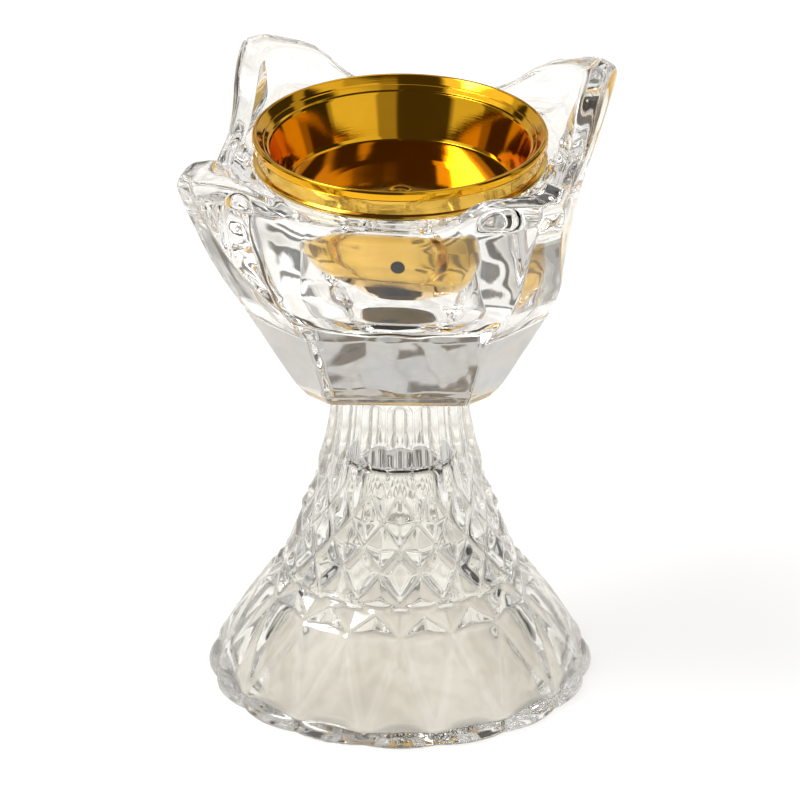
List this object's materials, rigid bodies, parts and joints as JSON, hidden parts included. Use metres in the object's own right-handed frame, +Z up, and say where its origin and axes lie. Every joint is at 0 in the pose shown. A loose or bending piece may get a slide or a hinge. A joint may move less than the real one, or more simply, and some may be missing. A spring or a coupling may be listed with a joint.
{
  "type": "glass incense burner",
  "caption": "Cut-crystal pedestal incense burner: hollow bell foot, thick four-horned glass bowl bonded on top, and a lift-out gold-plated cup with a shallow dished floor for charcoal or a tealight.",
  "frame": {"origin": "centre of the foot's ground plane, on the burner's axis", "axes": "+Z up along the axis; X and Y square to the bowl's upper walls, so each horn stands on a diagonal"},
  "size_m": [0.0836, 0.0836, 0.1316],
  "materials": {
    "pedestal_glass": "clear pressed glass, fire polished",
    "bond_adhesive": "clear cured adhesive",
    "bowl_glass": "clear pressed glass, fire polished",
    "shell_gold": "bright gold plating on spun sheet",
    "liner_gold": "bright gold plating on spun sheet"
  },
  "bodies": {
    "stand": {"base_pedestal": "pedestal_glass", "bond_layer": "bond_adhesive", "bowl": "bowl_glass"},
    "cup": {"cup_shell": "shell_gold", "cup_liner": "liner_gold"}
  },
  "joints": [
    {"name": "cup_lift", "type": "slide", "parent": "stand", "child": "cup", "axis": [0, 0, 1], "range_m": [0, 0.06]}
  ]
}
